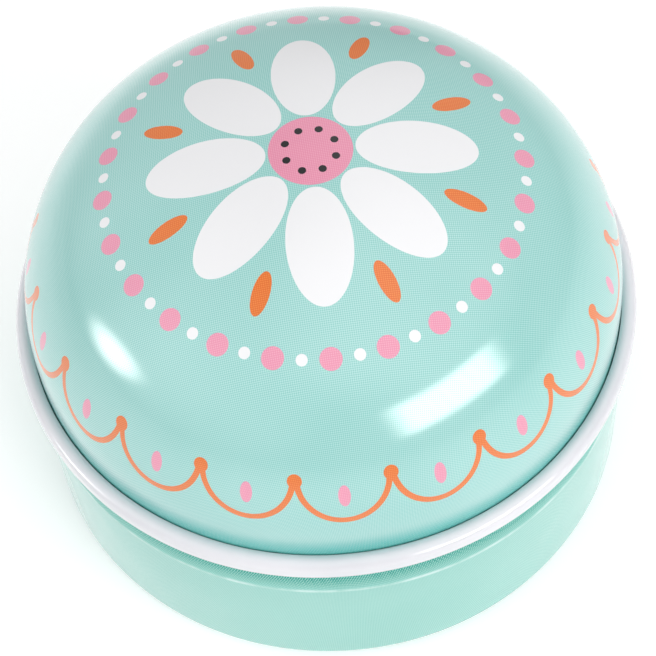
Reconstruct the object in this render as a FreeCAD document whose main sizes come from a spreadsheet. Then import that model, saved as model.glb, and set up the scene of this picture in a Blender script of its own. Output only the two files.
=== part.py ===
import FreeCAD, Part
import os
import Sketcher

# A round keepsake tin pressed from tinplate: a drawn body with a necked mouth, and a domed lid that
# slips over the neck. Millimetres, +Z up, the origin on the table under the middle of the tin.

SIZES = (
    ("sheet", 0.25, "gauge of the tinplate"),
    ("body_diameter", 54.6, "outside of the straight wall"),
    ("wall_height", 13.8, "table to the edge where the shoulder starts"),
    ("base_radius", 1.5, "rounding between wall and base"),
    ("foot_width", 3.5, "flat ring that the tin stands on"),
    ("panel_depth", 0.7, "how far the middle of the base is pressed up"),
    ("panel_radius", 0.5, "rounding of the step between foot ring and base panel"),
    ("neck_inset", 1.12, "step in from the wall to the neck"),
    ("shoulder_height", 1.9, "rise of that step"),
    ("shoulder_radius", 0.45, "rounding of its outer edge"),
    ("neck_radius", 1.2, "hollow rounding at the foot of the neck"),
    ("bead_diameter", 1.6, "bead rolled inward round the mouth"),
    ("slip_clearance", 0.12, "between neck and lid skirt, on the radius"),
    ("seat_clearance", 0.05, "between the mouth bead and the inside of the dome"),
    ("lid_gap", 3.57, "shoulder edge to the underside of the lid rim"),
    ("rim_width", 1.7, "rolled rim, across the roll"),
    ("rim_straight", 0.59, "straight side of the oval roll"),
    ("roll_clearance", 0.08, "between a rolled edge and the wall it turns back to"),
    ("skirt_height", 3.95, "underside of the rim to the start of the dome"),
    ("dome_radius", 16.2, "round of the dome between skirt and crown"),
    ("crown_rise", 2.35, "height of the flatter crown above that round"),
)

# Lengths that follow from the sizes.
BODY_RADIUS = "Sizes.body_diameter / 2"
FOOT_OUTSIDE = f"({BODY_RADIUS} - Sizes.base_radius)"
FOOT_INSIDE = f"({FOOT_OUTSIDE} - Sizes.foot_width)"
PANEL_EDGE = f"({FOOT_INSIDE} - Sizes.panel_depth)"
NECK_OUTSIDE = f"({BODY_RADIUS} - Sizes.neck_inset)"
NECK_INSIDE = f"({NECK_OUTSIDE} - Sizes.sheet)"
NECK_FOOT = "(Sizes.wall_height + Sizes.shoulder_height)"
BEAD_OUTER = "Sizes.bead_diameter / 2"
BEAD_INNER = f"({BEAD_OUTER} - Sizes.sheet)"
BEAD_CENTRE = f"({NECK_OUTSIDE} - {BEAD_OUTER})"
BEAD_STOP = f"({NECK_INSIDE} - Sizes.roll_clearance)"
SKIRT_INSIDE = f"({NECK_OUTSIDE} + Sizes.slip_clearance)"
SKIRT_OUTSIDE = f"({SKIRT_INSIDE} + Sizes.sheet)"
ROLL_OUTER = "Sizes.rim_width / 2"
ROLL_INNER = f"({ROLL_OUTER} - Sizes.sheet)"
ROLL_CENTRE = f"({SKIRT_INSIDE} + {ROLL_OUTER})"
ROLL_TOP = f"({ROLL_OUTER} + Sizes.rim_straight)"
ROLL_STOP = f"({SKIRT_OUTSIDE} + Sizes.roll_clearance)"
LID_HEIGHT = "(Sizes.wall_height + Sizes.lid_gap)"
DOME_CENTRE = f"({SKIRT_OUTSIDE} - Sizes.dome_radius)"
DOME_TOP = "(Sizes.skirt_height + Sizes.dome_radius + Sizes.crown_rise)"

# The crown is the circle about the axis that runs smoothly into the dome's round.
CROWN_DROP = f"(({DOME_CENTRE}^2 - Sizes.crown_rise^2) / (2 * Sizes.crown_rise))"
CROWN_RADIUS = f"({CROWN_DROP} + Sizes.dome_radius + Sizes.crown_rise)"

# With the lid down, the mouth bead sits just inside the dome's round: both are circles in section.
SEAT_REACH = f"(Sizes.dome_radius - Sizes.sheet - {BEAD_OUTER} - Sizes.seat_clearance)"
SEAT_OFFSET = f"({BEAD_CENTRE} - {DOME_CENTRE})"
SEAT_RISE = f"sqrt({SEAT_REACH}^2 - {SEAT_OFFSET}^2)"
BEAD_HEIGHT = f"({LID_HEIGHT} + Sizes.skirt_height + {SEAT_RISE})"

# Points and fixed lines of a sketch, as a sketch numbers them.
START = 1
END = 2
CENTRE = 3
ORIGIN = -1
FLOOR_LINE = -1
AXIS_LINE = -2

# Directions in a section: across, up.
OUT = (1, 0)
UP = (0, 1)
IN = (-1, 0)
DOWN = (0, -1)
FIND_WITHIN = 1e-4

doc = FreeCAD.newDocument("KeepsakeTin")
sizes = doc.addObject("Spreadsheet::Sheet", "Sizes")
for row, (alias, value, meaning) in enumerate(SIZES, start=1):
    sizes.set(f"A{row}", alias)
    sizes.set(f"B{row}", str(value))
    sizes.set(f"C{row}", meaning)
    sizes.setAlias(f"B{row}", alias)
doc.recompute()


def length(expression):
    """The number an expression comes to with the sizes of the sheet."""
    return float(sizes.evalExpression(expression))


def new_body(name, label):
    body = doc.addObject("PartDesign::Body", name)
    body.Label = label
    return body


def new_sketch(body, name):
    """A sketch on the body's own XZ plane: across is the radius, up is the height."""
    sketch = body.newObject("Sketcher::SketchObject", name)
    plane = [item for item in body.Origin.OriginFeatures if item.Role == "XZ_Plane"][0]
    sketch.AttachmentSupport = [(plane, "")]
    sketch.MapMode = "FlatFace"
    return sketch


def place(corner):
    """The point at a corner, which is given by two expressions: its radius and its height."""
    return FreeCAD.Vector(length(corner[0]), length(corner[1]), 0)


def on_circle(centre, radius, direction):
    """The point of a circle that lies in a direction from its centre."""
    return centre + FreeCAD.Vector(*direction, 0).normalize() * radius


def add_line(sketch, start, end):
    return sketch.addGeometry(Part.LineSegment(start, end), False)


def add_arc(sketch, centre, radius, *directions):
    """An arc through three directions from its centre, counter-clockwise."""
    points = [on_circle(centre, radius, direction) for direction in directions]
    return sketch.addGeometry(Part.Arc(*points), False)


def tie(sketch, kind, *references):
    sketch.addConstraint(Sketcher.Constraint(kind, *references))


def drive(sketch, kind, *references, by):
    """Adds a dimension that follows an expression."""
    number = sketch.addConstraint(Sketcher.Constraint(kind, *references, length(by)))
    sketch.setExpression(f"Constraints[{number}]", by)


def pin(sketch, edge, end, corner):
    """Holds one point of an edge at a corner."""
    across, up = corner
    if across == "0":
        tie(sketch, "PointOnObject", edge, end, AXIS_LINE)
    else:
        drive(sketch, "DistanceX", ORIGIN, START, edge, end, by=across)
    if up == "0":
        tie(sketch, "PointOnObject", edge, end, FLOOR_LINE)
    else:
        drive(sketch, "DistanceY", ORIGIN, START, edge, end, by=up)


def chain(sketch, corners):
    """Straight lines from corner to corner, pinned at the start of each."""
    lines = []
    for start, end in zip(corners, corners[1:]):
        lines.append(add_line(sketch, place(start), place(end)))
        pin(sketch, lines[-1], START, start)
        if len(lines) > 1:
            tie(sketch, "Coincident", lines[-2], END, lines[-1], START)
    return lines


def turn(body, name, sketch):
    """Spins a section once round the height axis and joins it to what the body has."""
    spun = body.newObject("PartDesign::Revolution", name)
    spun.Profile = sketch
    spun.ReferenceAxis = (sketch, ["V_Axis"])
    spun.Angle = 360
    doc.recompute()


def round_edge(body, name, corner, radius):
    """Rounds the circular edge that lies at a corner."""
    base = body.Tip
    across, up = length(corner[0]), length(corner[1])
    found = []
    for number, edge in enumerate(base.Shape.Edges, start=1):
        circle = edge.Curve
        if not isinstance(circle, Part.Circle):
            continue
        if abs(circle.Radius - across) < FIND_WITHIN and abs(circle.Center.z - up) < FIND_WITHIN:
            found.append(f"Edge{number}")
    rounding = body.newObject("PartDesign::Fillet", name)
    rounding.Base = (base, found)
    rounding.setExpression("Radius", radius)
    doc.recompute()


def hollow(body, name, mouth_height):
    """Leaves a skin of one sheet, open at the flat disc that lies at this height."""
    base = body.Tip
    found = []
    for number, face in enumerate(base.Shape.Faces, start=1):
        flat = isinstance(face.Surface, Part.Plane)
        if flat and abs(face.CenterOfMass.z - length(mouth_height)) < FIND_WITHIN:
            found.append(f"Face{number}")
    skin = body.newObject("PartDesign::Thickness", name)
    skin.Base = (base, found)
    skin.setExpression("Value", "Sizes.sheet")
    skin.Reversed = True
    doc.recompute()


# Body: the outside of the drawn cup is turned solid, the edges of its base are rounded, then it is
# hollowed to one sheet and the bead is rolled at its mouth.
tin_body = new_body("TinBody", "tin_body")
cup = new_sketch(tin_body, "CupOutside")
panel_middle = ("0", "Sizes.panel_depth")
panel_edge = (PANEL_EDGE, "Sizes.panel_depth")
foot_edge = (FOOT_INSIDE, "0")
base_edge = (BODY_RADIUS, "0")
shoulder_edge = (BODY_RADIUS, "Sizes.wall_height")
neck_edge = (NECK_OUTSIDE, NECK_FOOT)
mouth_edge = (NECK_OUTSIDE, BEAD_HEIGHT)
mouth_middle = ("0", BEAD_HEIGHT)
base_lines = chain(cup, [panel_middle, panel_edge, foot_edge, base_edge])
mouth_lines = chain(cup, [mouth_edge, mouth_middle, panel_middle])
lean = (length("Sizes.shoulder_height"), length("Sizes.neck_inset"))
back = (-lean[0], -lean[1])
shoulder_radius = length("Sizes.shoulder_radius")
neck_radius = length("Sizes.neck_radius")
half_turn = (lean[0] ** 2 + lean[1] ** 2) ** 0.5 + lean[0]
shoulder_run = FreeCAD.Vector(shoulder_radius, shoulder_radius * lean[1] / half_turn, 0)
neck_run = FreeCAD.Vector(neck_radius, neck_radius * lean[1] / half_turn, 0)
shoulder_middle = place(shoulder_edge) - shoulder_run
neck_middle = place(neck_edge) + neck_run
halfway_up = (lean[0] * 2, lean[1])
halfway_back = (back[0] * 2, back[1])
shoulder_round = add_arc(cup, shoulder_middle, shoulder_radius, OUT, halfway_up, lean)
neck_round = add_arc(cup, neck_middle, neck_radius, IN, halfway_back, back)
wall = add_line(cup, place(base_edge), on_circle(shoulder_middle, shoulder_radius, OUT))
slope = add_line(
    cup,
    on_circle(shoulder_middle, shoulder_radius, lean),
    on_circle(neck_middle, neck_radius, back),
)
neck = add_line(cup, on_circle(neck_middle, neck_radius, IN), place(mouth_edge))
shoulder_mark = cup.addGeometry(Part.Point(place(shoulder_edge)), True)
neck_mark = cup.addGeometry(Part.Point(place(neck_edge)), True)
pin(cup, shoulder_mark, START, shoulder_edge)
pin(cup, neck_mark, START, neck_edge)
pin(cup, wall, START, base_edge)
tie(cup, "Coincident", base_lines[-1], END, wall, START)
tie(cup, "Vertical", wall)
tie(cup, "Tangent", wall, END, shoulder_round, START)
tie(cup, "Tangent", shoulder_round, END, slope, START)
tie(cup, "PointOnObject", shoulder_mark, START, slope)
tie(cup, "PointOnObject", neck_mark, START, slope)
tie(cup, "Tangent", slope, END, neck_round, END)
tie(cup, "Tangent", neck_round, START, neck, START)
tie(cup, "Vertical", neck)
tie(cup, "Coincident", neck, END, mouth_lines[0], START)
tie(cup, "Coincident", mouth_lines[-1], END, base_lines[0], START)
drive(cup, "Radius", shoulder_round, by="Sizes.shoulder_radius")
drive(cup, "Radius", neck_round, by="Sizes.neck_radius")
turn(tin_body, "Cup", cup)
round_edge(tin_body, "BaseRounding", base_edge, "Sizes.base_radius")
round_edge(tin_body, "FootRounding", foot_edge, "Sizes.panel_radius")
round_edge(tin_body, "PanelRounding", panel_edge, "Sizes.panel_radius")
hollow(tin_body, "CupSheet", BEAD_HEIGHT)

# Mouth bead: a roll of the sheet, up from the neck, inward and round until it almost meets the neck.
bead = new_sketch(tin_body, "BeadSection")
bead_middle = place((BEAD_CENTRE, BEAD_HEIGHT))
outer_radius = length(BEAD_OUTER)
inner_radius = length(BEAD_INNER)
stop_across = length(BEAD_STOP) - bead_middle.x
bead_stop = (stop_across, -((outer_radius**2 - stop_across**2) ** 0.5))
outer_roll = add_arc(bead, bead_middle, outer_radius, OUT, IN, bead_stop)
inner_roll = add_arc(bead, bead_middle, inner_radius, OUT, IN, bead_stop)
neck_join = add_line(
    bead,
    on_circle(bead_middle, inner_radius, OUT),
    on_circle(bead_middle, outer_radius, OUT),
)
bead_end = add_line(
    bead,
    on_circle(bead_middle, inner_radius, bead_stop),
    on_circle(bead_middle, outer_radius, bead_stop),
)
tie(bead, "Coincident", inner_roll, CENTRE, outer_roll, CENTRE)
tie(bead, "Coincident", neck_join, START, inner_roll, START)
tie(bead, "Coincident", neck_join, END, outer_roll, START)
tie(bead, "Coincident", bead_end, START, inner_roll, END)
tie(bead, "Coincident", bead_end, END, outer_roll, END)
tie(bead, "Horizontal", neck_join)
tie(bead, "PointOnObject", outer_roll, CENTRE, neck_join)
tie(bead, "PointOnObject", outer_roll, CENTRE, bead_end)
pin(bead, outer_roll, CENTRE, (BEAD_CENTRE, BEAD_HEIGHT))
drive(bead, "Radius", outer_roll, by=BEAD_OUTER)
drive(bead, "Radius", inner_roll, by=BEAD_INNER)
drive(bead, "DistanceX", ORIGIN, START, outer_roll, END, by=BEAD_STOP)
turn(tin_body, "MouthBead", bead)

# Lid: drawn from the underside of its rim, and placed at its height over the body. The section of the
# dome's sheet is turned, then the rim is rolled outward at its foot.
tin_lid = new_body("TinLid", "tin_lid")
tin_lid.setExpression("Placement.Base.z", LID_HEIGHT)
dome = new_sketch(tin_lid, "DomeSection")
round_start = (SKIRT_OUTSIDE, "Sizes.skirt_height")
inside_start = (SKIRT_INSIDE, "Sizes.skirt_height")
skirt_foot = (SKIRT_OUTSIDE, ROLL_OUTER)
inside_foot = (SKIRT_INSIDE, ROLL_OUTER)
skirt_outside, foot_line, skirt_inside = chain(dome, [round_start, skirt_foot, inside_foot, inside_start])
pin(dome, skirt_inside, END, inside_start)
sheet = length("Sizes.sheet")
round_middle = place((DOME_CENTRE, "Sizes.skirt_height"))
round_radius = length("Sizes.dome_radius")
crown_middle = round_middle - FreeCAD.Vector(round_middle.x, length(CROWN_DROP), 0)
crown_radius = length(CROWN_RADIUS)
meeting = (round_middle.x, length(CROWN_DROP))
half_way = (round_middle.x / 2, length(CROWN_DROP))
outer_round = add_arc(dome, round_middle, round_radius, OUT, (2, 1), meeting)
inner_round = add_arc(dome, round_middle, round_radius - sheet, OUT, (2, 1), meeting)
outer_crown = add_arc(dome, crown_middle, crown_radius, meeting, half_way, UP)
inner_crown = add_arc(dome, crown_middle, crown_radius - sheet, meeting, half_way, UP)
middle_line = add_line(
    dome,
    on_circle(crown_middle, crown_radius - sheet, UP),
    on_circle(crown_middle, crown_radius, UP),
)
meeting_line = add_line(dome, crown_middle, on_circle(crown_middle, crown_radius, meeting))
dome.toggleConstruction(meeting_line)
tie(dome, "Tangent", skirt_outside, START, outer_round, START)
tie(dome, "Tangent", outer_round, END, outer_crown, START)
tie(dome, "PointOnObject", outer_crown, CENTRE, AXIS_LINE)
tie(dome, "Coincident", outer_crown, END, middle_line, END)
pin(dome, middle_line, END, ("0", DOME_TOP))
drive(dome, "Radius", outer_round, by="Sizes.dome_radius")
tie(dome, "Coincident", meeting_line, START, outer_crown, CENTRE)
tie(dome, "Coincident", meeting_line, END, outer_crown, START)
tie(dome, "Coincident", inner_round, CENTRE, outer_round, CENTRE)
tie(dome, "Coincident", inner_round, START, skirt_inside, END)
tie(dome, "PointOnObject", inner_round, END, meeting_line)
tie(dome, "Coincident", inner_crown, CENTRE, outer_crown, CENTRE)
tie(dome, "Coincident", inner_crown, START, inner_round, END)
tie(dome, "Coincident", inner_crown, END, middle_line, START)
tie(dome, "PointOnObject", middle_line, START, AXIS_LINE)
turn(tin_lid, "Dome", dome)

# Rim: an oval roll, down and out under the skirt, up its straight side and over towards the skirt.
rim = new_sketch(tin_lid, "RimSection")
low_middle = place((ROLL_CENTRE, ROLL_OUTER))
high_middle = place((ROLL_CENTRE, ROLL_TOP))
outer_radius = length(ROLL_OUTER)
inner_radius = length(ROLL_INNER)
stop_across = length(ROLL_STOP) - high_middle.x
rim_stop = (stop_across, (outer_radius**2 - stop_across**2) ** 0.5)
low_outer = add_arc(rim, low_middle, outer_radius, IN, DOWN, OUT)
low_inner = add_arc(rim, low_middle, inner_radius, IN, DOWN, OUT)
high_outer = add_arc(rim, high_middle, outer_radius, OUT, (1, 1), rim_stop)
high_inner = add_arc(rim, high_middle, inner_radius, OUT, (1, 1), rim_stop)
side_outer = add_line(
    rim,
    on_circle(low_middle, outer_radius, OUT),
    on_circle(high_middle, outer_radius, OUT),
)
side_inner = add_line(
    rim,
    on_circle(low_middle, inner_radius, OUT),
    on_circle(high_middle, inner_radius, OUT),
)
skirt_join = add_line(
    rim,
    on_circle(low_middle, inner_radius, IN),
    on_circle(low_middle, outer_radius, IN),
)
rim_end = add_line(
    rim,
    on_circle(high_middle, inner_radius, rim_stop),
    on_circle(high_middle, outer_radius, rim_stop),
)
pin(rim, low_outer, CENTRE, (ROLL_CENTRE, ROLL_OUTER))
pin(rim, high_outer, CENTRE, (ROLL_CENTRE, ROLL_TOP))
tie(rim, "Coincident", low_inner, CENTRE, low_outer, CENTRE)
tie(rim, "Coincident", high_inner, CENTRE, high_outer, CENTRE)
tie(rim, "Vertical", side_outer)
tie(rim, "Vertical", side_inner)
tie(rim, "Tangent", low_outer, END, side_outer, START)
tie(rim, "Tangent", side_outer, END, high_outer, START)
tie(rim, "Tangent", low_inner, END, side_inner, START)
tie(rim, "Tangent", side_inner, END, high_inner, START)
tie(rim, "Coincident", skirt_join, START, low_inner, START)
tie(rim, "Coincident", skirt_join, END, low_outer, START)
tie(rim, "Coincident", rim_end, START, high_inner, END)
tie(rim, "Coincident", rim_end, END, high_outer, END)
tie(rim, "Horizontal", skirt_join)
tie(rim, "PointOnObject", low_outer, CENTRE, skirt_join)
tie(rim, "PointOnObject", high_outer, CENTRE, rim_end)
drive(rim, "Radius", low_outer, by=ROLL_OUTER)
drive(rim, "Radius", low_inner, by=ROLL_INNER)
drive(rim, "DistanceX", ORIGIN, START, high_outer, END, by=ROLL_STOP)
turn(tin_lid, "RolledRim", rim)

# Every object has to be sound before anything is written.
doc.recompute()
for item in doc.Objects:
    if "Invalid" in item.State or "Error" in item.State:
        raise RuntimeError(f"{item.Name} did not compute: {item.State}")

os.makedirs("parts", exist_ok=True)
for piece in (tin_body, tin_lid):
    shape = piece.Shape
    if shape.isNull() or not shape.isValid() or len(shape.Solids) != 1:
        raise RuntimeError(f"{piece.Label} is not one sound solid")
    shape.exportStep(f"parts/{piece.Label}.step")
    print(piece.Label, "volume", round(shape.Volume, 2), "box", shape.BoundBox)
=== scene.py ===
# %% [markdown]
# A round keepsake tin, made of two pieces of printed tinplate: a shallow body, and a tall domed lid that
# slips over the body's neck. The CAD model gives their sizes and how the lid moves. Its own meshes could
# be coloured as they are. Here each piece is modelled again as what it is, one thin sheet, because a
# sheet has a printed side, a white side and a bare cut edge, and a glossy dome needs a smoother surface
# than the CAD mesh has.

import math

import bpy
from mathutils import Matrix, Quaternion, Vector


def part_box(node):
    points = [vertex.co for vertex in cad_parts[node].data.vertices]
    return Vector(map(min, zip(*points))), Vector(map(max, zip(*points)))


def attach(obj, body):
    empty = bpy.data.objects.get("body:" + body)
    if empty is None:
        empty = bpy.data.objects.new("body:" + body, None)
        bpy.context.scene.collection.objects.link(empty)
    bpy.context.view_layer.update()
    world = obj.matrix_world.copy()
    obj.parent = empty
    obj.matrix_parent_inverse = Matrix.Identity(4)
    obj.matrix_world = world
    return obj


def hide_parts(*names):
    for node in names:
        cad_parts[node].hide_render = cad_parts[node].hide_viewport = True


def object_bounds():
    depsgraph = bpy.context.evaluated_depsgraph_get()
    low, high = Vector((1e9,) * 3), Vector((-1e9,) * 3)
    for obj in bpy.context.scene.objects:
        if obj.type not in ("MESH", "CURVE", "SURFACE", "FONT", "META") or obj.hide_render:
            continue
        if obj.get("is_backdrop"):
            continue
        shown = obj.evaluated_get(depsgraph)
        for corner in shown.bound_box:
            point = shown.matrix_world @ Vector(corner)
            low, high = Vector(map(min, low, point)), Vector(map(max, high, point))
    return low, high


MM = 0.001

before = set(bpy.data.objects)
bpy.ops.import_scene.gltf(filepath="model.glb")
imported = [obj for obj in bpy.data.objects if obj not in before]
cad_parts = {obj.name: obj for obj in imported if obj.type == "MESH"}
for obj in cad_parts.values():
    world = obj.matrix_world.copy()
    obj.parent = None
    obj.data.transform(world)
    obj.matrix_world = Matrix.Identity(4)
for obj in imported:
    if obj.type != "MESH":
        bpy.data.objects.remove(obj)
cad_low, cad_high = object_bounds()
body_low, body_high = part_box("tin_body")
lid_low, lid_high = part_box("tin_lid")
for name, low, high in (
    ("tin", cad_low, cad_high),
    ("body", body_low, body_high),
    ("lid", lid_low, lid_high),
):
    print(name, [round(side / MM, 2) for side in high - low], "mm")

# %% [markdown]
# The sheet. Both pieces are pressed from tinplate of one gauge. The boxes of the two CAD nodes give the
# outer radii and the heights of the pieces. What the boxes can't tell, such as this gauge or the radius
# of a fold, could be measured on the CAD meshes, but it is plainer to write it where it is needed, with
# the CAD model's own value.

# %% Gauge of the sheet
SHEET = 0.25 * MM
print("sheet", round(SHEET / MM, 2), "mm thick")

# %% [markdown]
# The section of a sheet is drawn as by hand: a plane is merged to one vertex, which is extruded along
# the straight stretches, and spun about the centre of each round one. A list of points would do as well,
# but spin makes true arcs with as many steps as asked for, so a fold of half a millimetre and a dome of
# sixteen both come out smooth. The pen also adds up how far along the sheet it has come.

# %% A pen that draws a section
ARC_STEP = math.radians(6)
FEWEST_STEPS = 3


class SheetLine:
    """Draws the section of a sheet in the XZ plane, from one vertex on."""

    def __init__(self, name, radius, height):
        bpy.ops.object.select_all(action="DESELECT")
        bpy.ops.mesh.primitive_plane_add(size=SHEET, location=(0, 0, 0))
        self.piece = bpy.context.object
        self.piece.name = name
        self.piece.data.name = name
        bpy.ops.object.mode_set(mode="EDIT")
        bpy.ops.mesh.select_all(action="SELECT")
        bpy.ops.mesh.merge(type="CENTER")
        bpy.ops.transform.translate(value=(radius, 0, height))
        self.end = Vector((radius, 0, height))
        self.run = 0.0

    def straight(self, radius, height):
        """Extrudes the end of the line to a point."""
        target = Vector((radius, 0, height))
        bpy.ops.mesh.extrude_region_move(TRANSFORM_OT_translate={"value": target - self.end})
        self.run += (target - self.end).length
        self.end = target

    def arc(self, radius, height, turn, step=ARC_STEP):
        """Spins the end of the line about a centre. A positive turn is clockwise, seen from the front."""
        centre = Vector((radius, 0, height))
        steps = max(FEWEST_STEPS, math.ceil(abs(turn) / step))
        bpy.ops.mesh.spin(steps=steps, angle=turn, center=centre, axis=(0, -1, 0))
        self.run += abs(turn) * (self.end - centre).length
        self.end = centre + Quaternion((0, 1, 0), turn) @ (self.end - centre)


print("an arc takes a step every", round(math.degrees(ARC_STEP)), "degrees")

# %% [markdown]
# From the section to the piece. Before it is spun, each vertex notes how far along the sheet it lies
# from the middle. That is about where it was on the flat disc of tinplate before it was pressed, and the
# print will use it. The spin closes its own seam, but leaves a pole of doubled vertices, which are
# merged. Solidify then gives the sheet its gauge. Both sides could be drawn instead, but then every fold
# would need two radii. The piece has three empty material slots by then, so that the modifier can put
# the white side and the cut edge in slots of their own.

# %% Spin a section and give it the sheet's gauge
ROUND_STEPS = 256
MERGE_WITHIN = 0.002 * MM
CREASE = math.radians(40)
INWARD = -1
PRINTED, WHITE, CUT = 0, 1, 2


def note_run(piece):
    """Walks the section edge by edge from the axis, and notes how far along the sheet each vertex lies."""
    vertices = piece.data.vertices
    neighbours = {vertex.index: [] for vertex in vertices}
    for edge in piece.data.edges:
        start, end = edge.vertices
        neighbours[start].append(end)
        neighbours[end].append(start)
    run = piece.data.attributes.new("run", "FLOAT", "POINT").data
    walked = [min(vertices, key=lambda vertex: vertex.co.x).index]
    while len(walked) < len(vertices):
        here = walked[-1]
        ahead = next(number for number in neighbours[here] if number not in walked[-2:])
        run[ahead].value = run[here].value + (vertices[ahead].co - vertices[here].co).length
        walked.append(ahead)


def press(line):
    """Turns a section into a sheet-metal piece, printed side out."""
    piece = line.piece
    bpy.ops.object.mode_set(mode="OBJECT")
    note_run(piece)
    bpy.ops.object.mode_set(mode="EDIT")
    bpy.ops.mesh.select_all(action="SELECT")
    bpy.ops.mesh.spin(steps=ROUND_STEPS, angle=math.tau, center=(0, 0, 0), axis=(0, 0, 1))
    bpy.ops.mesh.select_all(action="SELECT")
    bpy.ops.mesh.remove_doubles(threshold=MERGE_WITHIN)
    bpy.ops.mesh.normals_make_consistent(inside=False)
    bpy.ops.object.mode_set(mode="OBJECT")
    for _ in (PRINTED, WHITE, CUT):
        piece.data.materials.append(None)
    gauge = piece.modifiers.new("gauge", "SOLIDIFY")
    gauge.thickness = SHEET
    gauge.offset = INWARD
    gauge.use_even_offset = True
    gauge.material_offset = WHITE - PRINTED
    gauge.material_offset_rim = CUT - PRINTED
    bpy.ops.object.modifier_apply(modifier="gauge")
    bpy.ops.object.shade_smooth_by_angle(angle=CREASE)
    faces = len(piece.data.polygons)
    print(piece.name, "sheet", round(line.run / MM, 2), "mm from middle to edge,", faces, "faces")
    return piece


print("steps of", round(math.tau * lid_high.x / ROUND_STEPS / MM, 2), "mm about the rim")

# %% [markdown]
# The lid. Its printed side is one line: the crown about the axis, the tighter round of the dome, the
# short straight skirt, and the rim, where the sheet is rolled outward and up until its edge nearly meets
# the skirt. The roll turns the white inside of the sheet to the front. A ring on a plain dome would look
# much the same from afar, but with the roll the white rim needs no paint of its own, and its edge is
# hidden as on the tin.

# %% Draw the lid
RIM_ROLL = 1.7 * MM / 2
RIM_STRAIGHT = 0.59 * MM
ROLL_GAP = 0.08 * MM
SKIRT_HEIGHT = 3.95 * MM
DOME_ROUND = 16.2 * MM
CROWN_RISE = 2.35 * MM
DOME_STEP = math.radians(2.5)

rim_radius = lid_high.x
lid_foot = lid_low.z
skirt = rim_radius - 2 * RIM_ROLL + SHEET
roll_middle = rim_radius - RIM_ROLL
dome_foot = lid_foot + SKIRT_HEIGHT
round_middle = skirt - DOME_ROUND
crown_drop = (round_middle**2 - CROWN_RISE**2) / (2 * CROWN_RISE)
crown_turn = math.atan2(round_middle, crown_drop)
roll_inside = RIM_ROLL - SHEET
roll_end = math.acos((skirt + ROLL_GAP - roll_middle) / RIM_ROLL)

lid_line = SheetLine("lid", 0, lid_high.z)
lid_line.arc(0, dome_foot - crown_drop, crown_turn, step=DOME_STEP)
lid_line.arc(round_middle, dome_foot, math.pi / 2 - crown_turn, step=DOME_STEP)
skirt_run = lid_line.run
lid_line.straight(skirt, lid_foot + RIM_ROLL)
lid_line.arc(roll_middle, lid_foot + RIM_ROLL, -math.pi)
lid_line.straight(roll_middle + roll_inside, lid_foot + RIM_ROLL + RIM_STRAIGHT)
lid_line.arc(roll_middle, lid_foot + RIM_ROLL + RIM_STRAIGHT, -roll_end)
lid = press(lid_line)
print("skirt starts", round(skirt_run / MM, 2), "mm along the sheet")
print("rim is rolled", round(2 * RIM_ROLL / MM, 2), "mm wide")

# %% [markdown]
# The body. A shallow cup, drawn from one disc as well: a base panel pressed up inside a foot ring, the
# wall, a small shoulder where the wall steps in, and the neck that the lid slips over. At the mouth the
# sheet is rolled inward into a bead, which stiffens it and hides the cut edge from fingers. A cylinder
# could be cut and bevelled to this shape. One line with its rounds is shorter, and leaves every fold at
# its true radius. It starts under the middle of the base and ends inside the bead.

# %% Draw the body
BASE_ROUND = 1.5 * MM
FOOT_WIDTH = 3.5 * MM
PANEL_DEPTH = 0.7 * MM
PANEL_ROUND = 0.5 * MM
STEP_TURN = math.pi / 4
WALL_HEIGHT = 13.8 * MM
NECK_INSET = 1.12 * MM
SHOULDER_HEIGHT = 1.9 * MM
SHOULDER_ROUND = 0.45 * MM
NECK_ROUND = 1.2 * MM
MOUTH_BEAD = 1.6 * MM / 2

wall_radius = body_high.x
neck = wall_radius - NECK_INSET
lean = math.atan2(NECK_INSET, SHOULDER_HEIGHT)
foot_outside = wall_radius - BASE_ROUND
foot_inside = foot_outside - FOOT_WIDTH
panel_edge = foot_inside - PANEL_DEPTH
step_setback = PANEL_ROUND * math.tan(STEP_TURN / 2)
step_foot = foot_inside + step_setback
shoulder_middle = WALL_HEIGHT - SHOULDER_ROUND * math.tan(lean / 2)
neck_middle = WALL_HEIGHT + SHOULDER_HEIGHT + NECK_ROUND * math.tan(lean / 2)
bead_middle = body_high.z - MOUTH_BEAD
bead_end = math.tau - math.acos((MOUTH_BEAD - SHEET - ROLL_GAP) / MOUTH_BEAD)

body_line = SheetLine("body", 0, PANEL_DEPTH)
body_line.straight(panel_edge - step_setback, PANEL_DEPTH)
body_line.arc(panel_edge - step_setback, PANEL_DEPTH - PANEL_ROUND, STEP_TURN)
body_line.straight(
    step_foot - PANEL_ROUND * math.sin(STEP_TURN),
    PANEL_ROUND - PANEL_ROUND * math.cos(STEP_TURN),
)
body_line.arc(step_foot, PANEL_ROUND, -STEP_TURN)
body_line.straight(foot_outside, 0)
body_line.arc(foot_outside, BASE_ROUND, -math.pi / 2)
body_line.straight(wall_radius, shoulder_middle)
ridge_run = body_line.run
body_line.arc(wall_radius - SHOULDER_ROUND, shoulder_middle, -lean)
body_line.straight(
    neck + NECK_ROUND * (1 - math.cos(lean)),
    neck_middle - NECK_ROUND * math.sin(lean),
)
body_line.arc(neck + NECK_ROUND, neck_middle, lean)
neck_run = body_line.run
body_line.straight(neck, bead_middle)
body_line.arc(neck - MOUTH_BEAD, bead_middle, -bead_end)
body = press(body_line)
print("ridge and neck start", [round(run / MM, 2) for run in (ridge_run, neck_run)], "mm along it")

# %% [markdown]
# A bench for finishes. All finishes are node trees that work in the piece's own coordinates, so that
# they stay on the sheet when the lid is lifted. Pictures could be painted instead, but a pattern drawn
# by nodes stays sharp however close the view. A node tree is wiring, and this small class keeps the
# wiring short: an input is given either a plain value or the output of another node.

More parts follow.
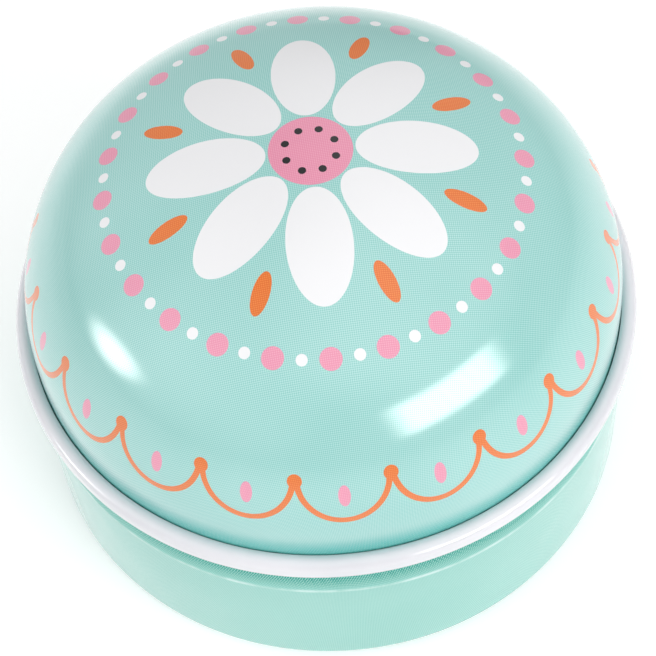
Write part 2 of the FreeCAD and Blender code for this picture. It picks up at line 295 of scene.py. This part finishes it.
# %% A bench for finishes
MIX_FACTOR, MIX_UNDER, MIX_OVER, MIX_RESULT = 0, 6, 7, 2
GRAIN_LOW, GRAIN_HIGH = 0.3, 0.7
GRAIN_DETAIL = 2.0


class Finish:
    """A node tree, built step by step around its shader."""

    def __init__(self, owner, shader):
        owner.use_nodes = True
        self.owner = owner
        self.tree = owner.node_tree
        self.shader = self.tree.nodes[shader]

    def plug(self, socket, value):
        """Links a socket to an output, or sets it to a plain value."""
        if isinstance(value, bpy.types.NodeSocket):
            self.tree.links.new(value, socket)
        else:
            socket.default_value = value

    def coat(self, **inputs):
        """Plugs inputs of the shader itself. Their names are written with low lines for spaces."""
        for name, value in inputs.items():
            self.plug(self.shader.inputs[name.replace("_", " ")], value)

    def node(self, kind, inputs, **settings):
        """Adds a node and returns its outputs."""
        node = self.tree.nodes.new("ShaderNode" + kind)
        for name, setting in settings.items():
            setattr(node, name, setting)
        for name, value in inputs.items():
            self.plug(node.inputs[name], value)
        return node.outputs

    def math(self, operation, *values):
        """Adds a math node and returns its result."""
        return self.node("Math", dict(enumerate(values)), operation=operation)["Value"]

    def over(self, mask, under, over):
        """Lays one colour over another where the mask is 1."""
        inputs = {MIX_FACTOR: mask, MIX_UNDER: under, MIX_OVER: over}
        return self.node("Mix", inputs, data_type="RGBA")[MIX_RESULT]

    def ramp(self, value, start, end, low=0.0, high=1.0):
        """Goes from low to high, smoothly, as the value goes from start to end."""
        inputs = {"Value": value, "From Min": start, "From Max": end, "To Min": low, "To Max": high}
        return self.node("MapRange", inputs, interpolation_type="SMOOTHSTEP")["Result"]

    def grain(self, size, detail=GRAIN_DETAIL, stretch=(1, 1, 1)):
        """Noise with grains of a size in metres. Most of it lies between the low and the high mark."""
        place = self.node("TexCoord", {})["Object"]
        stretched = self.node("Mapping", {"Vector": place, "Scale": stretch})["Vector"]
        return self.node("TexNoise", {"Vector": stretched, "Scale": 1 / size, "Detail": detail})["Fac"]

    def patches(self, grain, low, high):
        """Goes from low to high with the strength of a noise."""
        return self.ramp(grain, GRAIN_LOW, GRAIN_HIGH, low, high)

    def bump(self, height, distance):
        """A surface raised by a noise, by no more than a distance in metres."""
        return self.node("Bump", {"Height": height, "Strength": 1.0, "Distance": distance})["Normal"]


def new_finish(name):
    """An empty finish for a piece."""
    return Finish(bpy.data.materials.new(name), "Principled BSDF")


print("a finish is built with", [name for name in vars(Finish) if not name.startswith("_")])

# %% [markdown]
# The varnish. Over print and white coat alike lies one clear stoved varnish, which makes the sharp
# reflections of the lights. Glossy ink alone would show them too, but not the broad, dull sheen that ink
# has under its film. So the varnish is the shader's coat layer, with the high index of a hard resin, and
# the ink under it has little gloss, which keeps dark ink dark, and is a little patchy. No stoved film is
# quite even, so the surface has a faint orange peel.

# %% Clear varnish
COAT_INDEX = 1.7
COAT_ROUGHNESS = 0.105
INK_GLOSS = 0.1
INK_SMOOTHEST, INK_ROUGHEST = 0.3, 0.45
GLOSS_PATCH = 9 * MM
GLOSS_DETAIL = 4.0
PEEL_SIZE = 1.3 * MM
PEEL_DETAIL = 1.0
PEEL_HEIGHT = 0.0016 * MM


def varnish(finish, colour):
    """Covers a colour with the clear varnish."""
    gloss = finish.grain(GLOSS_PATCH, GLOSS_DETAIL)
    surface = finish.bump(finish.grain(PEEL_SIZE, PEEL_DETAIL), PEEL_HEIGHT)
    finish.coat(
        Base_Color=colour,
        Roughness=finish.patches(gloss, INK_SMOOTHEST, INK_ROUGHEST),
        Specular_IOR_Level=INK_GLOSS,
        Normal=surface,
        Coat_Weight=1.0,
        Coat_Roughness=COAT_ROUGHNESS,
        Coat_IOR=COAT_INDEX,
        Coat_Normal=surface,
    )


head_on = ((COAT_INDEX - 1) / (COAT_INDEX + 1)) ** 2
print(f"the varnish mirrors {head_on:.1%} of the light that meets it head on")

# %% [markdown]
# The print. Tinplate is printed flat and then pressed, so the print is drawn on the flat disc here too:
# the angle about the axis and the noted run along the sheet, in millimetres, are its polar coordinates.
# The mint isn't a solid ink. It is a screen of fine dots over a paler tint, which shows as a grain in a
# close view, with the slow drift in strength that any printed sheet has. Where pressing has squeezed the
# metal together, at the foot of the dome and on the body's shoulder, the dots crowd, darken and pucker
# into fine slanting strokes. That darkening is also painted shade, where the lid's rim shades the skirt
# and the body's shoulder. One even colour would be simpler, but it would look like plastic.

# %% Dots of ink on the flat disc
DOT_PITCH = 0.175
DOT_TURN = math.radians(42)
DOT_SOFTNESS = 0.5
INK_DRIFT = 14 * MM
INK_DRIFT_SHARE = 0.12
CROWDED_AND_SHADED_SHARE = 0.6
PUCKERS = 720
PUCKER_SLANT = -18.0


def flat_disc(finish):
    """The angle of each point of the disc, and its distance from the middle in millimetres."""
    place = finish.node("TexCoord", {})["Object"]
    split = finish.node("SeparateXYZ", {"Vector": place})
    run = finish.node("Attribute", {}, attribute_name="run")["Fac"]
    return finish.math("ARCTAN2", split["Y"], split["X"]), finish.math("DIVIDE", run, MM)


def dot_screen(finish, disc, share):
    """A mask of dots in rows. The share says how much they cover: 0 is about half."""
    angle, run = disc
    turned = finish.math("ADD", angle, DOT_TURN)
    rows = math.pi * math.sqrt(2) / DOT_PITCH
    waves = []
    for side in ("COSINE", "SINE"):
        offset = finish.math("MULTIPLY", run, finish.math(side, turned))
        waves.append(finish.math("COSINE", finish.math("MULTIPLY", offset, rows)))
    height = finish.math("ADD", finish.math("MULTIPLY", *waves), share)
    return finish.ramp(height, -DOT_SOFTNESS, DOT_SOFTNESS)


def mint_ground(finish, disc, tint, ink, crowded_and_shaded, squeeze_and_shade, puckering):
    """The mint of the whole disc: tint, dots, and darker dots where the squeeze crowds them, partly
    painted shade.
    """
    angle, run = disc
    around = finish.math("MULTIPLY", angle, PUCKERS)
    pucker = finish.math("COSINE", finish.math("MULTIPLY_ADD", run, PUCKER_SLANT, around))
    crowding = finish.math("MULTIPLY_ADD", pucker, puckering, CROWDED_AND_SHADED_SHARE)
    drift = finish.patches(finish.grain(INK_DRIFT), -INK_DRIFT_SHARE, INK_DRIFT_SHARE)
    share = finish.math("MULTIPLY_ADD", squeeze_and_shade, crowding, drift)
    dots = dot_screen(finish, disc, share)
    return finish.over(dots, tint, finish.over(squeeze_and_shade, ink, crowded_and_shaded))


print("dots stand", DOT_PITCH, "mm apart")

# %% [markdown]
# The ground of the lid's print is a pale mint, which deepens at the foot of the dome and stays deep down
# the skirt. The deep mint is crowded ink, and partly painted shade of the rim roll beside the skirt. Two
# colours with a border would do from afar. A ramp along the run gives the soft change that pressing
# leaves.

# %% Print the lid's ground
LID_TINT = (0.43, 0.71, 0.68, 1)
LID_MINT = (0.24, 0.565, 0.525, 1)
# The crowded colour and its ramp down the skirt are partly painted shade of the crevice at the rim.
LID_CROWDED_AND_SHADED = (0.09, 0.49, 0.45, 1)
SKIRT_SQUEEZE_AND_SHADE = (-1.3, 1.3)
SKIRT_PUCKERING = 0.15

lid_print = new_finish("lid print")
disc = flat_disc(lid_print)
squeeze_and_shade = lid_print.ramp(disc[1], *(skirt_run / MM + edge for edge in SKIRT_SQUEEZE_AND_SHADE))
artwork = mint_ground(lid_print, disc, LID_TINT, LID_MINT, LID_CROWDED_AND_SHADED, squeeze_and_shade, SKIRT_PUCKERING)
print("lid ground has", len(lid_print.tree.nodes), "nodes")

# %% [markdown]
# The ornament. The lid carries a plain garden ornament in the tin's own inks: a white daisy on the
# crown, a ring of beads about it, and a garland of orange swags low on the dome. All of it is made of
# ovals and arcs in rings. Each could be placed by itself, but wrapping the angle folds the disc into one
# sector, and a single oval drawn there appears all round.

# %% Ovals in rings
def sector(finish, disc, count, distance, between=False):
    """Folds the disc into one of a count of sectors: how far along and across it a point lies."""
    angle, run = disc
    half = math.pi / count
    shift = half if between else 0.0
    folded = finish.math("WRAP", finish.math("ADD", angle, shift), half, -half)
    along = finish.math("SUBTRACT", finish.math("MULTIPLY", run, finish.math("COSINE", folded)), distance)
    across = finish.math("MULTIPLY", run, finish.math("SINE", folded))
    return along, across


def reach(finish, along, across, length, width):
    """How far out a point lies in an oval of half a length and half a width: 1 is on its edge."""
    inputs = {"X": finish.math("DIVIDE", along, length), "Y": finish.math("DIVIDE", across, width)}
    offset = finish.node("CombineXYZ", inputs)["Vector"]
    return finish.node("VectorMath", {0: offset}, operation="LENGTH")["Value"]


def ovals(finish, disc, count, distance, size, between=False):
    """A mask of ovals in a ring about the middle of the disc."""
    along, across = sector(finish, disc, count, distance, between)
    return finish.math("LESS_THAN", reach(finish, along, across, *size), 1.0)


def swags(finish, disc, count, distance, drop, stroke):
    """A mask of hanging arcs in a ring, each half a circle of the drop, drawn with a stroke."""
    along, across = sector(finish, disc, count, distance)
    off = finish.math("ABSOLUTE", finish.math("SUBTRACT", reach(finish, along, across, 1.0, 1.0), drop))
    line = finish.math("LESS_THAN", off, stroke / 2)
    return finish.math("MULTIPLY", line, finish.math("GREATER_THAN", along, 0.0))


print("rings are drawn by", ovals.__name__, "and", swags.__name__)

# %% [markdown]
# The inks of the ornament are laid from the bottom up, as a press lays them. Pink and orange are
# screened like the mint. The white of the petals and the black of the seeds are solid inks. One formula
# could choose among them all, but with a mask for each layer a motif can be moved or left out by itself.
# Lengths on the disc are in millimetres, and an oval is given by half its length and half its width.

# %% Print the lid's ornament
ORANGE_INK = (0.74, 0.14, 0.01, 1)
ORANGE_TINT = (0.83, 0.24, 0.04, 1)
PINK_INK = (0.78, 0.26, 0.39, 1)
PINK_TINT = (0.85, 0.39, 0.51, 1)
SEED_INK = (0.012, 0.011, 0.013, 1)
WHITE_INK = (0.86, 0.86, 0.875, 1)
HALF_TONE = -0.2
EYE = 3.5
SEED_RING = 2.2
SEED = (0.34, 0.34)
PETALS = 8
PETAL_RING = 8.9
PETAL = (5.2, 2.75)
SEPAL_RING = 13.4
SEPAL = (1.9, 0.75)
BEADS = 24
BEAD_RING = 18.3
PINK_BEAD = (0.95, 0.95)
WHITE_BEAD = (0.5, 0.5)
SWAGS = 20
SWAG_RING = 28.4
SWAG_DROP = 4.3
SWAG_STROKE = 0.6
KNOT = (0.7, 0.7)
DROP_RING = SWAG_RING + 1.6
DROP = (1.1, 0.6)

half_dots = dot_screen(lid_print, disc, HALF_TONE)
pink = lid_print.over(half_dots, PINK_INK, PINK_TINT)
orange = lid_print.over(half_dots, ORANGE_INK, ORANGE_TINT)
layers = (
    (ovals(lid_print, disc, PETALS, PETAL_RING, PETAL), WHITE_INK),
    (ovals(lid_print, disc, PETALS, SEPAL_RING, SEPAL, between=True), orange),
    (lid_print.math("LESS_THAN", disc[1], EYE), pink),
    (ovals(lid_print, disc, PETALS, SEED_RING, SEED, between=True), SEED_INK),
    (ovals(lid_print, disc, BEADS, BEAD_RING, PINK_BEAD), pink),
    (ovals(lid_print, disc, BEADS, BEAD_RING, WHITE_BEAD, between=True), WHITE_INK),
    (swags(lid_print, disc, SWAGS, SWAG_RING, SWAG_DROP, SWAG_STROKE), orange),
    (ovals(lid_print, disc, SWAGS, SWAG_RING, KNOT, between=True), orange),
    (ovals(lid_print, disc, SWAGS, DROP_RING, DROP), pink),
)
for mask, ink in layers:
    artwork = lid_print.over(mask, artwork, ink)
varnish(lid_print, artwork)
print("lid print has", len(layers), "layers over the mint and", len(lid_print.tree.nodes), "nodes")

# %% [markdown]
# The body's print is mint alone, a little greener than the lid's. Along the ridge the fold stretches the
# ink thin and leaves a pale line, which wear has made uneven; the line is also a painted highlight on the
# fold. Above it the shoulder is dark: crowded ink, and painted shade under the lid's rim. On the neck
# the squeeze and its painted shade ease, and the lid's skirt has rubbed fine upright scuffs through to
# the tin. Separate materials for wall, shoulder and neck would meet in hard edges. One print that reads
# the run along the sheet passes from one to the next as the real one does.

# %% Print the body
BODY_TINT = (0.31, 0.645, 0.575, 1)
BODY_MINT = (0.175, 0.51, 0.44, 1)
# The crowded colour is partly painted shade under the lid's rim.
BODY_CROWDED_AND_SHADED = (0.015, 0.32, 0.25, 1)
SHOULDER_SQUEEZE_AND_SHADE = 1.4
SHOULDER_PUCKERING = 0.9
NECK_ZONE = (1.6, 3.0)
NECK_EASE = 0.7
RIDGE_LINE = 0.26
# The ridge tint is thin pale ink and partly a painted highlight along the fold.
RIDGE_PALE_AND_HIGHLIGHT = (0.60, 0.80, 0.77, 1)
RIDGE_PATCH = 2.5 * MM
RIDGE_DETAIL = 4.0
RIDGE_FAINTEST = 0.25
BARE_TIN = (0.58, 0.57, 0.55, 1)
SCUFF_SIZE = 0.4 * MM
SCUFF_DETAIL = 3.0
SCUFF_STRETCH = (1, 1, 0.06)
SCUFF_FROM, SCUFF_FULL = 0.62, 0.74

body_print = new_finish("body print")
disc = flat_disc(body_print)
run = disc[1]
ridge = (ridge_run + lean * SHOULDER_ROUND / 2) / MM
on_neck = body_print.ramp(run, *(neck_run / MM + edge for edge in NECK_ZONE))
# The shoulder's darkening ramp is partly painted shade under the lid's rim.
squeeze_and_shade = body_print.ramp(run, ridge, ridge + SHOULDER_SQUEEZE_AND_SHADE)
squeeze_and_shade = body_print.math("MULTIPLY_ADD", on_neck, -NECK_EASE, squeeze_and_shade)
artwork = mint_ground(body_print, disc, BODY_TINT, BODY_MINT, BODY_CROWDED_AND_SHADED, squeeze_and_shade, SHOULDER_PUCKERING)
off_ridge = body_print.math("ABSOLUTE", body_print.math("SUBTRACT", run, ridge))
# Uneven wear on the pale ridge line, which is partly a painted highlight.
worn_and_highlight = body_print.patches(body_print.grain(RIDGE_PATCH, RIDGE_DETAIL), RIDGE_FAINTEST, 1.0)
worn_and_highlight = body_print.math("MULTIPLY", worn_and_highlight, body_print.ramp(off_ridge, RIDGE_LINE, 0.0))
artwork = body_print.over(worn_and_highlight, artwork, RIDGE_PALE_AND_HIGHLIGHT)
scuffs = body_print.grain(SCUFF_SIZE, SCUFF_DETAIL, SCUFF_STRETCH)
scuffs = body_print.math("MULTIPLY", body_print.ramp(scuffs, SCUFF_FROM, SCUFF_FULL), on_neck)
artwork = body_print.over(scuffs, artwork, BARE_TIN)
varnish(body_print, artwork)
body_print.coat(Metallic=scuffs)
print("body print has", len(body_print.tree.nodes), "nodes, its ridge lies at", round(ridge, 2), "mm")

# %% [markdown]
# The white coat, which shows inside both pieces and on the rolled rim, and the cut edge, where the sheet
# was sheared and bare steel shows between two films of tin. The edge could stay white, since the rolls
# hide it from nearly every side. It has a finish of its own for a close look into a roll.

# %% White coat and cut edge
WHITE_COAT = (0.79, 0.78, 0.82, 1)
WHITE_DRIFT = (0.72, 0.72, 0.76, 1)
CLOUD_DETAIL = 3.0
STEEL_DARK = (0.42, 0.41, 0.40, 1)
STEEL_BRIGHT = (0.66, 0.65, 0.63, 1)
SHEAR_SIZE = 0.12 * MM
SHEAR_DETAIL = 3.0
SHEAR_HEIGHT = 0.004 * MM
SHEAR_SMOOTHEST, SHEAR_ROUGHEST = 0.3, 0.5

white_coat = new_finish("white coat")
cloud = white_coat.patches(white_coat.grain(INK_DRIFT, CLOUD_DETAIL), 0.0, 1.0)
varnish(white_coat, white_coat.over(cloud, WHITE_COAT, WHITE_DRIFT))

cut_edge = new_finish("cut edge")
shear = cut_edge.grain(SHEAR_SIZE, SHEAR_DETAIL)
cut_edge.coat(
    Base_Color=cut_edge.over(shear, STEEL_DARK, STEEL_BRIGHT),
    Metallic=1.0,
    Roughness=cut_edge.patches(shear, SHEAR_SMOOTHEST, SHEAR_ROUGHEST),
    Normal=cut_edge.bump(shear, SHEAR_HEIGHT),
)
for finish in (white_coat, cut_edge):
    print(finish.owner.name, "has", len(finish.tree.nodes), "nodes")

# %% [markdown]
# Each piece takes its three finishes. Then it rides the body that moves it, and stands for its CAD node,
# which is hidden. It could be parented by hand; here attach makes an empty for the body and parents the
# piece to it, keeping its place.

# %% Finish the pieces
for piece, print_finish in ((lid, lid_print), (body, body_print)):
    piece.data.materials[PRINTED] = print_finish.owner
    piece.data.materials[WHITE] = white_coat.owner
    piece.data.materials[CUT] = cut_edge.owner
    print(piece.name, [slot.material.name for slot in piece.material_slots])

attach(lid, "lid")
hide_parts("tin_lid")
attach(body, "base")
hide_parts("tin_body")

# %% [markdown]
# The floor is a wide sheet of paper, a hair below the tin so that the two don't share a plane. It is
# painted white about the tin and greyer further off, a painted pool of light, so the dome's reflection
# of it darkens towards the horizon. More light would whiten it too, but would bleach the tin. Instead it
# glows a little for rays from the camera or from a reflection: it looks white and keeps its shadow.

# %% Floor
FLOOR_SIZE = 8.0
FLOOR_DROP = 0.05 * MM
POOL_EDGE = 70 * MM
POOL_FADE = 300 * MM
PAPER_WHITE = (0.86, 0.86, 0.86, 1)
PAPER_FAR_PAINTED_DIM = (0.56, 0.56, 0.56, 1)
PAPER_ROUGHNESS = 0.9
PAPER_GLOW = 0.35

bpy.ops.object.select_all(action="DESELECT")
bpy.ops.mesh.primitive_plane_add(size=FLOOR_SIZE, location=(0, 0, -FLOOR_DROP))
floor = bpy.context.object
floor.name = "floor"
floor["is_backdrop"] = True

paper = new_finish("white paper")
rays = paper.node("LightPath", {})
seen = paper.math("MAXIMUM", rays["Is Camera Ray"], rays["Is Glossy Ray"])
seen = paper.math("MAXIMUM", seen, rays["Is Transmission Ray"])
place = paper.node("TexCoord", {})["Object"]
off_middle = paper.node("VectorMath", {0: place}, operation="LENGTH")["Value"]
# A painted pool of light: the paper is white near the tin and greyer far off.
painted_pool_tone = paper.over(paper.ramp(off_middle, POOL_EDGE, POOL_FADE), PAPER_WHITE, PAPER_FAR_PAINTED_DIM)
paper.coat(
    Base_Color=painted_pool_tone,
    Roughness=PAPER_ROUGHNESS,
    Specular_IOR_Level=0.0,
    Emission_Color=painted_pool_tone,
    Emission_Strength=paper.math("MULTIPLY", seen, PAPER_GLOW),
)
floor.data.materials.append(paper.owner)
print("floor", [round(side, 2) for side in floor.dimensions], "m")

# %% [markdown]
# The light is a studio tent, drawn on the world, because a glossy tin shows whatever stands about it.
# Lamp objects would light it as well, but would show as hard shapes in the varnish. A direction on the
# tent is given as seen from the tin, and a panel of the tent is measured along and up from its middle.

# %% Directions in the tent
QUARTER_TURN = 90


def toward(azimuth, elevation):
    """A direction seen from the tin. Azimuth 0 is in front, positive to the right, in degrees."""
    around = math.radians(azimuth)
    above = math.radians(elevation)
    level = math.cos(above)
    return Vector((math.sin(around) * level, -math.cos(around) * level, math.sin(above)))


def share_of(finish, direction):
    """How far the looked-at direction goes along a given one, from -1 to 1."""
    view = finish.node("TexCoord", {})["Generated"]
    return finish.node("VectorMath", {0: view, 1: direction}, operation="DOT_PRODUCT")["Value"]


def panel(finish, at, slant=0.0):
    """How far along and up a panel the looked-at direction lies, and whether it faces the panel."""
    middle = toward(*at)
    along = Quaternion(middle, slant) @ toward(at[0] + QUARTER_TURN, 0)
    up = along.cross(middle)
    facing = finish.math("GREATER_THAN", share_of(finish, middle), 0.0)
    return share_of(finish, along), share_of(finish, up), facing


print("the front is towards", [round(share) for share in toward(0, 0)])

# %% [markdown]
# Five lamps stand about the tent and shine softly through its cloth, the strongest from above. One big
# lamp would be simpler, but would leave the far side dark. Five of one spread shade the dome gently all
# round.

# %% Lamps behind the cloth
TENT_CLOTH = 0.22
LAMP_SPREAD = math.radians(45)
LEFT_LAMP, LEFT_GLOW = (-95, 36), 0.66
FRONT_LAMP, FRONT_GLOW = (-50, 36), 0.56
TOP_LAMP, TOP_GLOW = (55, 66), 1.0
RIGHT_LAMP, RIGHT_GLOW = (140, 36), 0.58
BACK_LAMP, BACK_GLOW = (-150, 10), 0.43

tent = Finish(bpy.data.worlds.new("studio tent"), "Background")
light = TENT_CLOTH
for lamp, glow in (
    (LEFT_LAMP, LEFT_GLOW),
    (FRONT_LAMP, FRONT_GLOW),
    (TOP_LAMP, TOP_GLOW),
    (RIGHT_LAMP, RIGHT_GLOW),
    (BACK_LAMP, BACK_GLOW),
):
    spot = tent.ramp(share_of(tent, toward(*lamp)), math.cos(LAMP_SPREAD), 1.0, 0.0, glow)
    light = tent.math("ADD", light, spot)
print("the lamps take", len(tent.tree.nodes), "nodes")

# %% [markdown]
# A window glows through the tent's left side and a long softbox through its right, brightest in the
# middle. They are small and strong, and make the two bright reflections on the dome. A picture of a room
# would do too, but these shapes are plain enough to draw: the window is a slanting oval, and the softbox
# fades towards its four edges.

# %% Window and softbox
WINDOW_AT = (-83.5, 13.3)
WINDOW_SLANT = math.radians(18)
WINDOW_LENGTH = math.sin(math.radians(16.5))
WINDOW_HEIGHT = math.sin(math.radians(9.8))
WINDOW_CORE = 0.12
WINDOW_GLOW = 10.5
SOFTBOX_AT = (41, 23.5)
SOFTBOX_LENGTH = math.sin(math.radians(24.5))
SOFTBOX_HEIGHT = math.sin(math.radians(12.5))
SOFTBOX_CORE = 0.55
SOFTBOX_GLOW = 8.0
WHITE_LIGHT = (1, 1, 1, 1)

along, up, facing = panel(tent, WINDOW_AT, WINDOW_SLANT)
off_window = reach(tent, along, up, WINDOW_LENGTH, WINDOW_HEIGHT)
window_glow = tent.ramp(off_window, 1.0, WINDOW_CORE, 0.0, WINDOW_GLOW)
light = tent.math("MULTIPLY_ADD", window_glow, facing, light)

along, up, facing = panel(tent, SOFTBOX_AT)
softbox_glow = facing
for share, edge in ((along, SOFTBOX_LENGTH), (up, SOFTBOX_HEIGHT)):
    fade = tent.ramp(tent.math("ABSOLUTE", share), edge, edge * SOFTBOX_CORE)
    softbox_glow = tent.math("MULTIPLY", softbox_glow, fade)
light = tent.math("MULTIPLY_ADD", softbox_glow, SOFTBOX_GLOW, light)
tent.coat(Color=WHITE_LIGHT, Strength=light)
bpy.context.scene.world = tent.owner
print("studio tent has", len(tent.tree.nodes), "nodes")

# %% [markdown]
# The camera stands close by, 56 degrees above the horizon as seen from the middle of the tin, and is a
# little rolled. Its place, lens and roll were found by matching the edges of the dome, the rim and the
# ridge to the photograph. A constraint could aim it, but a quaternion from its line of sight takes the
# roll too.

# %% Camera
CAMERA_AT = Vector((0, -99.68, 167.78)) * MM
AIM_AT = Vector((0, 0, 12.8)) * MM
ROLL = math.radians(-5.64)
LENS = 108.74
SENSOR = 36
NEAREST = 10 * MM

camera_data = bpy.data.cameras.new("camera")
camera_data.sensor_width = SENSOR
camera_data.lens = LENS
camera_data.clip_start = NEAREST
camera = bpy.data.objects.new("camera", camera_data)
camera.location = CAMERA_AT
camera.rotation_mode = "QUATERNION"
sight = AIM_AT - CAMERA_AT
camera.rotation_quaternion = sight.to_track_quat("-Z", "Y") @ Quaternion((0, 0, 1), ROLL)
bpy.context.scene.collection.objects.link(camera)
bpy.context.scene.camera = camera
bpy.context.scene.view_settings.view_transform = "Standard"
view_angle = round(math.degrees(camera_data.angle), 1)
print("camera", round(sight.length / MM), "mm off, sees", view_angle, "degrees")

# %% [markdown]
# Last, the size. A finish doesn't change what the tin measures, so the box of the finished pieces is
# written down beside the box of the CAD model. They agree to about a hundredth of a millimetre, by which
# the CAD mesh with its flat facets falls short of the true circle.

low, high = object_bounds()
past_box = [*(cad_low - low), *(high - cad_high)]
print("past the CAD box by", [round(side / MM, 3) for side in past_box], "mm")
